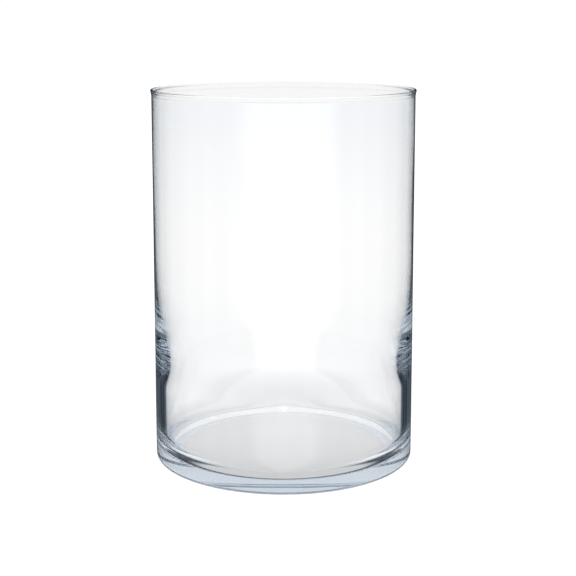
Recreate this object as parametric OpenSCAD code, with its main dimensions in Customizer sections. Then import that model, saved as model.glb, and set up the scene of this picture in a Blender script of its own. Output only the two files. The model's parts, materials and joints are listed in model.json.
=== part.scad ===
// Clear glass cylinder vase with a heavy foot, blown and fire-polished.
// The wall is thin at the mouth and grows thick towards the foot. Four zones of the glass
// meet face to face as fused glass: the base, the lower wall, the upper wall and the rim.
// Millimetres, +Z up, origin at the centre of the underside.

/* [Body] */
// Height from the underside to the top of the rim
height = 295; // [240:5:400]
// Outside diameter at the foot
foot_d = 208; // [160:2:260]
// How much the outside of the wall leans inwards from the foot to the rim
lean = 1.7; // [0:0.1:3]

/* [Wall] */
// Wall thickness in the thin upper part
thin_wall = 1.3; // [1.1:0.1:2.5]
// Wall thickness just above the base
thick_wall = 8; // [5:0.2:12]
// Height up to which the wall keeps its full thickness
thick_height = 67; // [50:1:80]
// Height over which the wall then thins
thinning_height = 40; // [30:1:60]
// Height of the seam between the lower wall and the upper wall
seam_height = 130; // [110:5:160]

/* [Base] */
// Thickness of the glass under the floor
floor_t = 7; // [5:0.5:12]
// Radius of the rounded heel between the underside and the wall
heel_r = 3; // [1:0.5:5]
// Width, along the floor, of the rounded corner between the floor and the wall
fillet_w = 16; // [8:1:20]
// Height, up the wall, of that rounded corner
fillet_h = 20; // [10:1:30]

/* [Rim] */
// Thickness of the fire-polished bead around the mouth
bead_t = 2.4; // [2.4:0.1:4]
// How far the bead stands proud of the outside of the wall
bead_proud = 0.8; // [0.2:0.1:0.9]
// Thickness of the wall just under the bead
lip_t = 1.5; // [1.2:0.1:1.5]
// Height below the bead over which the lip thins to the wall
lip_height = 18; // [10:1:40]
// Height of the rim, from its seam with the wall to the top of the bead
rim_h = 5; // [4:0.5:10]

/* [Hidden] */
$fn = 128;
glass_colour = [0.86, 0.92, 0.95, 0.35];
foot_r = foot_d / 2;
base_h = floor_t + fillet_h;
inside_foot_r = foot_r - thick_wall;
wall_top = height - rim_h;
lower_wall_steps = 14;
upper_wall_steps = 14;
bead_r = bead_t / 2;
bead_z = height - bead_r;
overshoot = 1;

// Outside radius of the wall at height z: a very slight lean inwards above the base.
function outside_r(z) = foot_r - lean * (z - base_h) / (height - base_h);

// Bell curve: 1 where d is zero or less, falling smoothly towards 0 over the length.
function fade(d, length) = exp(-pow(max(0, d) / length, 2));

// Wall thickness at height z: thick at the foot, thin above, a little thicker at the lip.
function wall_t(z) = thin_wall
    + (thick_wall - thin_wall) * fade(z - thick_height, thinning_height)
    + (lip_t - thin_wall) * fade(wall_top - z, lip_height);

function inside_r(z) = outside_r(z) - wall_t(z);

// Half section of a disc whose lower outside corner is rounded by a quarter of an ellipse.
module rounded_half_section(r, h, corner_w, corner_h) {
    translate([0, corner_h]) square([r, h - corner_h]);
    square([r - corner_w, h]);
    translate([r - corner_w, corner_h])
        scale([1, corner_h / corner_w])
        circle(r = corner_w);
}

// Ring of wall between two heights, whose inside follows the thickness curve.
module wall_ring(bottom_z, top_z, steps) {
    inside = [
        for (i = [0 : steps])
            let (z = bottom_z + (top_z - bottom_z) * i / steps)
            [inside_r(z), z]
    ];
    outside = [[outside_r(top_z), top_z], [outside_r(bottom_z), bottom_z]];
    rotate_extrude()
    polygon(concat(inside, outside));
}

// Thick glass foot: the floor, the rounded heel and the rounded corner inside.
module base() {
    color(glass_colour)
    rotate_extrude()
    difference() {
        rounded_half_section(foot_r, base_h, heel_r, heel_r);
        translate([0, floor_t])
            rounded_half_section(inside_foot_r, 2 * fillet_h + overshoot, fillet_w, fillet_h);
    }
}

// Heavy part of the wall, which thins upwards.
module lower_wall() {
    color(glass_colour)
    wall_ring(base_h, seam_height, lower_wall_steps);
}

// Thin part of the wall, up to the rim.
module upper_wall() {
    color(glass_colour)
    wall_ring(seam_height, wall_top, upper_wall_steps);
}

// Fire-polished rim: a short lip with a round bead around the mouth.
module rim() {
    lip_outside_r = outside_r(wall_top);
    lip_inside_r = inside_r(wall_top);
    color(glass_colour)
    rotate_extrude() {
        translate([lip_inside_r, wall_top])
            square([lip_outside_r - lip_inside_r, bead_z - wall_top]);
        translate([lip_outside_r + bead_proud - bead_r, bead_z])
            circle(r = bead_r);
    }
}

base();
lower_wall();
upper_wall();
rim();
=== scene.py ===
"""Clear glass cylinder vase: one continuous skin of blown glass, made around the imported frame."""

import json
import math

import bpy
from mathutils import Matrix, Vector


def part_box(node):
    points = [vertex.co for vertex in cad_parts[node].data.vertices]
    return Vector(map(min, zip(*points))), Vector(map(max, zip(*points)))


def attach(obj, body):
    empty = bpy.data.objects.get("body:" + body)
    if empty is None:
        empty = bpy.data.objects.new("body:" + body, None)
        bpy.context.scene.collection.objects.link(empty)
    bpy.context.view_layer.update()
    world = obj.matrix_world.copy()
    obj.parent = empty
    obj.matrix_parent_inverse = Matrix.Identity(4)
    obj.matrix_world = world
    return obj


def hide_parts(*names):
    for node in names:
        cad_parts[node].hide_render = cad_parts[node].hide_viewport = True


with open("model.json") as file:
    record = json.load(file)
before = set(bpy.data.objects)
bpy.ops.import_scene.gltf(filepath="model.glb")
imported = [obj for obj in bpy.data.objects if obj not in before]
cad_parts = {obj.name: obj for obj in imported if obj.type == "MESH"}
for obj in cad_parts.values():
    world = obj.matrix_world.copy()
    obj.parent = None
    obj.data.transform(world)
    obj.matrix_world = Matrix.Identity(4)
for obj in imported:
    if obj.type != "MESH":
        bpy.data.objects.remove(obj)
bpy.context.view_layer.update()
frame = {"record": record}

MM = 0.001

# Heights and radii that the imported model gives.
mount_height = {mount["name"]: mount["pos_m"][2] for mount in frame["record"]["mounts"]}
FOOT_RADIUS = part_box("base")[1].x
BASE_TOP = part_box("base")[1].z
FLOOR_HEIGHT = mount_height["floor"]
WALL_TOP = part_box("upper_wall")[1].z
RIM_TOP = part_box("rim")[1].z
RIM_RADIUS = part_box("rim")[1].x

# Sizes that the solids are made from, in metres.
LEAN = 1.7 * MM
THIN_WALL = 1.3 * MM
THICK_WALL = 8.0 * MM
THICK_HEIGHT = 67.0 * MM
THINNING_HEIGHT = 40.0 * MM
LIP_WALL = 1.5 * MM
LIP_HEIGHT = 18.0 * MM
BEAD_THICKNESS = 2.4 * MM
HEEL_RADIUS = 3.0 * MM
FILLET_HEIGHT = BASE_TOP - FLOOR_HEIGHT
FILLET_WIDTH = 16.0 * MM

# Where the rounded bead leaves the wall's outside and where it meets the inside, as angles in its section.
BEAD_START_DEG = -50
BEAD_END_DEG = 180

# Faint waviness of the wall: two waves that go round it a whole number of times and climb as they go.
# They are held still over a short height at the foot and at the rim.
RIPPLE_DEPTH = 0.12 * MM
RIPPLE_LENGTH = 150.0 * MM
SLOW_WAVES = 3
FAST_WAVES = 5
FAST_CLIMB = -0.6
FOOT_HOLD = 50.0 * MM
RIM_HOLD = 30.0 * MM
# How far round, in radians, the waves on the inside are turned against those on the outside.
INSIDE_PHASE = 1.1

# The studio's light, as brightness where 1 is white.
BACKDROP_LIGHT = 1.02
THROUGH_LIGHT = 1.08
UPPER_LIGHT = 1.03
COLUMN_LIGHT = 0.10
EDGE_LIGHT = 0.97
PANEL_LIGHT = 0.17
ROOM_LIGHT = 0.025
TABLE_LIGHT = 1.1
BASE_LIGHT = 1.06

# The room's cool colour, and the shares of two lights: of that colour in the light above the table, and
# of the foot's light in rays that were turned an even number of times and fall.
ROOM_TINT = (0.64, 0.81, 1.0)
UPPER_TINT = 0.12
EVEN_SHARE = 0.2

# Where the studio's lights change: the upward part of a ray's direction, from one value to the next.
STEEP_SLOPE = (-0.75, -0.55)
EVEN_SLOPE = (-0.2, 0.0)
ABOVE_TABLE_SLOPE = (-0.18, -0.06)
BELOW_CEILING_SLOPE = (0.12, 0.25)
RISING_SLOPE = (0.24, 0.30)
# How many bright columns and dim panels stand around the vase, and the cosines at which each begins and ends.
COLUMNS = 8.0
COLUMN_EDGE = (0.93, 0.98)
PANELS = 16.0
PANEL_EDGE = (-0.2, 0.6)
# A ray that has crossed more surfaces than this has been through both walls.
ONE_WALL_SURFACES = 3.5

# The glass: refractive index, and the colour and density of what it absorbs.
GLASS_INDEX = 1.51
GLASS_COLOUR = (0.60, 0.68, 0.76, 1)
GLASS_DENSITY = 6.0

# The glass surface: noise scales per metre, bump depth in metres and two roughness values.
SWELL_SCALE = 14.0
CORD_SCALE = 45.0
CORD_STRETCH = 0.3
CORD_SHARE = 0.12
BUMP_DEPTH = 0.03 * MM
SMEAR_SCALE = 30.0
SMEAR_DISTORTION = 1.5
SMEAR_EDGE = (0.35, 0.75)
GLOSS_ROUGHNESS = 0.005
SMEAR_ROUGHNESS = 0.02

# The shade on the table: how far out it darkens and fades, in metres, and how dark it is there.
SHADE_REACH = 0.45
SHADE_SOFTNESS = (0.05, 0.25)
SHADE_MIDDLE = 0.66
SHADE_FADE = (0.10, 0.42)
SHADE_DEPTH = (-0.12, 0.12)
SHADE_FRONT = 0.85
SHADE_BACK = 1.12
SHADE_DROP = 0.1 * MM

# The table, in metres.
TABLE_REACH = 12.0
TABLE_DROP = 0.2 * MM

# The camera: lens and sensor in millimetres, place in metres, and how far it looks down.
LENS = 81.28
SENSOR_WIDTH = 36.0
CAMERA_PLACE = (0.0035, -1.020, 0.3587)
CAMERA_DOWN_DEG = 12.30

# How often light may bounce inside the glass.
BOUNCES = 32

# How finely the skin is turned and how finely its outline is cut.
SEGMENTS = 256
ARC_STEPS = 24
WALL_STEPS = 96
FLOOR_RINGS = 12


# ---------------------------------------------------------------- shape

def fade(distance, length):
    """Bell curve: 1 where distance is zero or less, falling smoothly towards 0 over length."""
    return math.exp(-(max(0.0, distance) / length) ** 2)


def outside_radius(z):
    """Outside radius of the wall at height z."""
    return FOOT_RADIUS - LEAN * (z - BASE_TOP) / (RIM_TOP - BASE_TOP)


def wall_thickness(z):
    """Thickness of the wall at height z: thick at the foot, thin above, a little thicker at the lip."""
    return (THIN_WALL
            + (THICK_WALL - THIN_WALL) * fade(z - THICK_HEIGHT, THINNING_HEIGHT)
            + (LIP_WALL - THIN_WALL) * fade(WALL_TOP - z, LIP_HEIGHT))


def arc(centre, radius, start_deg, end_deg, stretch=1.0):
    """Points (r, z) along an arc in the half section, both ends included, stretched along z."""
    points = []
    for step in range(ARC_STEPS + 1):
        angle = math.radians(start_deg + (end_deg - start_deg) * step / ARC_STEPS)
        across = radius * math.cos(angle)
        up = stretch * radius * math.sin(angle)
        points.append((centre[0] + across, centre[1] + up))
    return points


def rings_between(start, end, count):
    """Points (r, z) evenly spaced strictly between two points."""
    points = []
    for step in range(1, count):
        share = step / count
        points.append((start[0] + (end[0] - start[0]) * share, start[1] + (end[1] - start[1]) * share))
    return points


def half_section():
    """The closed outline of the glass, from the middle of the underside round to the middle of the floor."""
    bead_radius = BEAD_THICKNESS / 2
    bead_centre = (RIM_RADIUS - bead_radius, RIM_TOP - bead_radius)
    heel_centre = (FOOT_RADIUS - HEEL_RADIUS, HEEL_RADIUS)
    inside_foot_radius = FOOT_RADIUS - THICK_WALL
    fillet_centre = (inside_foot_radius - FILLET_WIDTH, BASE_TOP)
    heights = [BASE_TOP + (WALL_TOP - BASE_TOP) * step / WALL_STEPS for step in range(WALL_STEPS + 1)]

    heel = arc(heel_centre, HEEL_RADIUS, -90, 0)
    outside = [(outside_radius(z), z) for z in heights]
    bead = arc(bead_centre, bead_radius, BEAD_START_DEG, BEAD_END_DEG)
    inside = [(outside_radius(z) - wall_thickness(z), z) for z in reversed(heights)]
    fillet = arc(fillet_centre, FILLET_WIDTH, 0, -90, FILLET_HEIGHT / FILLET_WIDTH)
    underside = rings_between((0, 0), heel[0], FLOOR_RINGS)
    floor = rings_between(fillet[-1], (0, FLOOR_HEIGHT), FLOOR_RINGS)
    return underside + heel + outside + bead + inside[:-1] + fillet + floor


def ripple(radius, angle, z):
    """Faint waviness of the blown wall, never outwards. It dies away at the foot and at the rim."""
    is_wall = BASE_TOP < z < WALL_TOP
    if not is_wall:
        return 0.0
    inside = radius < outside_radius(z) - wall_thickness(z) / 2
    turned = angle + (INSIDE_PHASE if inside else 0.0)
    climb = 2 * math.pi * z / RIPPLE_LENGTH
    slow_wave = (1 + math.cos(SLOW_WAVES * turned + climb)) / 2
    fast_wave = (1 + math.cos(FAST_WAVES * turned + FAST_CLIMB * climb)) / 2
    freedom = 1 - fade(z - BASE_TOP, FOOT_HOLD) - fade(WALL_TOP - z, RIM_HOLD)
    return -RIPPLE_DEPTH * (slow_wave + fast_wave) / 2 * max(0.0, freedom)


def turn(name, outline, bottom_z, top_z):
    """A closed piece made by turning an outline about Z, with a middle point for each of its two ends."""
    vertices = []
    for radius, z in outline:
        for segment in range(SEGMENTS):
            angle = 2 * math.pi * segment / SEGMENTS
            reach = radius + ripple(radius, angle, z)
            vertices.append((reach * math.cos(angle), reach * math.sin(angle), z))
    faces = []
    for ring in range(len(outline) - 1):
        for segment in range(SEGMENTS):
            here = ring * SEGMENTS + segment
            ahead = ring * SEGMENTS + (segment + 1) % SEGMENTS
            faces.append((here, ahead, ahead + SEGMENTS, here + SEGMENTS))
    bottom_middle = len(vertices)
    top_middle = bottom_middle + 1
    vertices += [(0, 0, bottom_z), (0, 0, top_z)]
    last_ring = (len(outline) - 1) * SEGMENTS
    for segment in range(SEGMENTS):
        ahead = (segment + 1) % SEGMENTS
        faces.append((bottom_middle, ahead, segment))
        faces.append((top_middle, last_ring + segment, last_ring + ahead))
    mesh = bpy.data.meshes.new(name)
    mesh.from_pydata(vertices, [], faces)
    mesh.polygons.foreach_set("use_smooth", [True] * len(mesh.polygons))
    mesh.update()
    piece = bpy.data.objects.new(name, mesh)
    bpy.context.scene.collection.objects.link(piece)
    return piece


# ---------------------------------------------------------------- materials

class NodeMath:
    """Short calls for the maths nodes of one node tree."""

    def __init__(self, tree):
        self.nodes = tree.nodes
        self.links = tree.links

    def node(self, kind, **sockets):
        """A new node whose inputs are set by name, with _ for each space in a name."""
        made = self.nodes.new(kind)
        for name, value in sockets.items():
            self.put(made.inputs[name.replace("_", " ")], value)
        return made

    def put(self, socket, value):
        """Link a socket to another node's output, or set it to a plain value."""
        if isinstance(value, bpy.types.NodeSocket):
            self.links.new(value, socket)
        else:
            socket.default_value = value

    def math(self, operation, *values):
        """The result of one maths operation on values or sockets."""
        made = self.nodes.new("ShaderNodeMath")
        made.operation = operation
        for socket, value in zip(made.inputs, values):
            self.put(socket, value)
        return made.outputs[0]

    def ramp(self, value, edge, low, high):
        """low up to the start of the edge, high from its end on, smooth in between."""
        made = self.nodes.new("ShaderNodeMapRange")
        made.interpolation_type = "SMOOTHSTEP"
        for socket, given in zip(made.inputs, (value, *edge, low, high)):
            self.put(socket, given)
        return made.outputs[0]

    def mix(self, factor, first, second):
        """first where factor is 0, second where it is 1."""
        return self.math("MULTIPLY_ADD", factor, self.math("SUBTRACT", second, first), first)


def glass_material():
    """Clear blown glass with a faint cool tint, which only shows through thick glass.

    The surface is polished by fire: a shallow bump of slow swells and fine cords, as in glass that
    was turned while hot, and a gloss that varies a little where it has been handled.
    """
    material = bpy.data.materials.new("clear_glass")
    material.use_nodes = True
    maths = NodeMath(material.node_tree)
    shader = maths.nodes["Principled BSDF"]
    shader.inputs["Base Color"].default_value = (1, 1, 1, 1)
    shader.inputs["IOR"].default_value = GLASS_INDEX
    shader.inputs["Transmission Weight"].default_value = 1.0

    place = maths.nodes.new("ShaderNodeTexCoord").outputs["Object"]
    stretched = maths.node("ShaderNodeMapping", Vector=place, Scale=(1.0, 1.0, CORD_STRETCH))
    swells = maths.node("ShaderNodeTexNoise", Vector=place, Scale=SWELL_SCALE, Detail=1.0)
    cords = maths.node("ShaderNodeTexNoise", Vector=stretched.outputs[0], Scale=CORD_SCALE, Detail=2.0)
    height = maths.math("MULTIPLY_ADD", cords.outputs["Fac"], CORD_SHARE, swells.outputs["Fac"])
    bump = maths.node("ShaderNodeBump", Height=height, Distance=BUMP_DEPTH, Strength=1.0)
    maths.put(shader.inputs["Normal"], bump.outputs[0])

    smears = maths.node(
        "ShaderNodeTexNoise", Vector=place, Scale=SMEAR_SCALE, Detail=4.0, Distortion=SMEAR_DISTORTION)
    gloss = maths.ramp(smears.outputs["Fac"], SMEAR_EDGE, GLOSS_ROUGHNESS, SMEAR_ROUGHNESS)
    maths.put(shader.inputs["Roughness"], gloss)

    absorption = maths.node("ShaderNodeVolumeAbsorption", Color=GLASS_COLOUR, Density=GLASS_DENSITY)
    maths.put(maths.nodes["Material Output"].inputs["Volume"], absorption.outputs["Volume"])
    return material


# ---------------------------------------------------------------- studio

def make_world():
    """What each ray of light finds in the studio around the vase.

    - Rays straight from the camera find the white backdrop.
    - Rays through both walls find an even light, a little stronger in tall columns, and a little
      dimmer and cooler above the table.
    - Rays through one wall only find a slightly dimmer light.
    - Rays turned back by a wall find a dark cool room with dim tall panels, as beside a glass that
      is lit from behind. Where they rise, and in part where they were turned an even number of
      times, they find the light that the foot gathers. Where they fall steeply, they find the table.
    """
    world = bpy.data.worlds.new("studio")
    bpy.context.scene.world = world
    world.use_nodes = True
    maths = NodeMath(world.node_tree)

    path = maths.nodes.new("ShaderNodeLightPath")
    mirrors = path.outputs["Glossy Depth"]
    turned = maths.math("GREATER_THAN", mirrors, 0.5)
    across = maths.math("GREATER_THAN", path.outputs["Transmission Depth"], ONE_WALL_SURFACES)

    direction = maths.node("ShaderNodeSeparateXYZ")
    maths.put(direction.inputs[0], maths.nodes.new("ShaderNodeTexCoord").outputs["Generated"])
    slope = direction.outputs["Z"]
    azimuth = maths.math("ARCTAN2", direction.outputs["X"], direction.outputs["Y"])

    column_wave = maths.math("COSINE", maths.math("MULTIPLY", azimuth, COLUMNS))
    column = maths.ramp(column_wave, COLUMN_EDGE, 0.0, COLUMN_LIGHT)
    above_table = maths.ramp(slope, ABOVE_TABLE_SLOPE, 0.0, 1.0)
    below_ceiling = maths.ramp(slope, BELOW_CEILING_SLOPE, 1.0, 0.0)
    upper = maths.math("MULTIPLY", above_table, below_ceiling)
    through = maths.math("ADD", column, maths.mix(upper, THROUGH_LIGHT, UPPER_LIGHT))

    panel_wave = maths.math("COSINE", maths.math("MULTIPLY", azimuth, PANELS))
    panels = maths.ramp(panel_wave, PANEL_EDGE, ROOM_LIGHT, PANEL_LIGHT)
    steep = maths.ramp(slope, STEEP_SLOPE, 1.0, 0.0)
    rising = maths.ramp(slope, RISING_SLOPE, 0.0, 1.0)
    even = maths.math("SUBTRACT", turned, maths.math("MODULO", mirrors, 2.0))
    even_share = maths.ramp(slope, EVEN_SLOPE, EVEN_SHARE, 1.0)
    piped = maths.math("MAXIMUM", rising, maths.math("MULTIPLY", even, even_share))

    light = maths.mix(steep, maths.mix(piped, panels, BASE_LIGHT), TABLE_LIGHT)
    light = maths.mix(turned, EDGE_LIGHT, light)
    light = maths.mix(across, light, through)
    light = maths.mix(path.outputs["Is Camera Ray"], light, BACKDROP_LIGHT)

    lit = maths.math("MAXIMUM", maths.math("MAXIMUM", piped, steep), across)
    room_tint = maths.math("SUBTRACT", turned, lit)
    upper_tint = maths.math("MULTIPLY", across, maths.math("MULTIPLY", upper, UPPER_TINT))
    cool = maths.math("MAXIMUM", maths.math("MAXIMUM", room_tint, 0.0), upper_tint)
    tint = maths.node("ShaderNodeCombineColor")
    for channel, amount in zip(("Red", "Green", "Blue"), ROOM_TINT):
        maths.put(tint.inputs[channel], maths.mix(cool, 1.0, amount))

    background = maths.nodes["Background"]
    maths.put(background.inputs["Color"], tint.outputs[0])
    maths.put(background.inputs["Strength"], light)


def stage_square(name, reach, drop):
    """A level square sheet of the studio, a little below the vase's foot."""
    mesh = bpy.data.meshes.new(name)
    corners = [(-reach, -reach, 0), (reach, -reach, 0), (reach, reach, 0), (-reach, reach, 0)]
    mesh.from_pydata(corners, [], [(0, 1, 2, 3)])
    sheet = bpy.data.objects.new(name, mesh)
    sheet.location.z = -drop
    bpy.context.scene.collection.objects.link(sheet)
    material = bpy.data.materials.new(name)
    material.use_nodes = True
    mesh.materials.append(material)
    return sheet, material.node_tree


def make_shade():
    """The soft shade that the vase casts on the table, seen only through the glass."""
    shade, tree = stage_square("shade", SHADE_REACH, SHADE_DROP)
    shade.visible_camera = False
    maths = NodeMath(tree)
    maths.nodes.remove(maths.nodes["Principled BSDF"])
    place = maths.nodes.new("ShaderNodeTexCoord").outputs["Object"]
    length = maths.node("ShaderNodeVectorMath")
    length.operation = "LENGTH"
    maths.put(length.inputs[0], place)
    distance = length.outputs["Value"]
    split = maths.node("ShaderNodeSeparateXYZ")
    maths.put(split.inputs[0], place)

    shaded = maths.ramp(distance, SHADE_SOFTNESS, SHADE_MIDDLE, 1.0)
    # Painted shade: the table is darker towards the front and lighter towards the back, as if lit from
    # behind.
    front_to_back = maths.ramp(split.outputs["Y"], SHADE_DEPTH, SHADE_FRONT, SHADE_BACK)
    dark = maths.math("MINIMUM", maths.math("MULTIPLY", shaded, front_to_back), 1.0)
    grey = maths.mix(maths.ramp(distance, SHADE_FADE, 0.0, 1.0), dark, 1.0)
    colour = maths.node("ShaderNodeCombineColor", Red=grey, Green=grey, Blue=grey)
    veil = maths.nodes.new("ShaderNodeBsdfTransparent")
    maths.put(veil.inputs["Color"], colour.outputs[0])
    maths.put(maths.nodes["Material Output"].inputs["Surface"], veil.outputs[0])


def make_floor():
    """Plain white table, seen past the glass only. It glows evenly, so nothing on it casts a shadow."""
    floor, tree = stage_square("floor", TABLE_REACH, TABLE_DROP)
    floor.visible_transmission = False
    floor.visible_glossy = False
    shader = tree.nodes["Principled BSDF"]
    shader.inputs["Base Color"].default_value = (0, 0, 0, 1)
    shader.inputs["Emission Color"].default_value = (1, 1, 1, 1)
    shader.inputs["Emission Strength"].default_value = BACKDROP_LIGHT


def make_camera():
    """The camera, in front of the vase and a little above it."""
    data = bpy.data.cameras.new("camera")
    data.lens = LENS
    data.sensor_width = SENSOR_WIDTH
    camera = bpy.data.objects.new("camera", data)
    camera.location = CAMERA_PLACE
    camera.rotation_euler = (math.radians(90 - CAMERA_DOWN_DEG), 0, 0)
    bpy.context.scene.collection.objects.link(camera)
    bpy.context.scene.camera = camera


scene = bpy.context.scene
scene.view_settings.view_transform = "Standard"
scene.cycles.max_bounces = BOUNCES
scene.cycles.transmission_bounces = BOUNCES
scene.cycles.glossy_bounces = BOUNCES

vase = turn("glass_vase", half_section(), 0, FLOOR_HEIGHT)
vase.data.materials.append(glass_material())
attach(vase, "root")
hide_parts("base", "lower_wall", "upper_wall", "rim")

make_world()
make_floor()
make_shade()
make_camera()
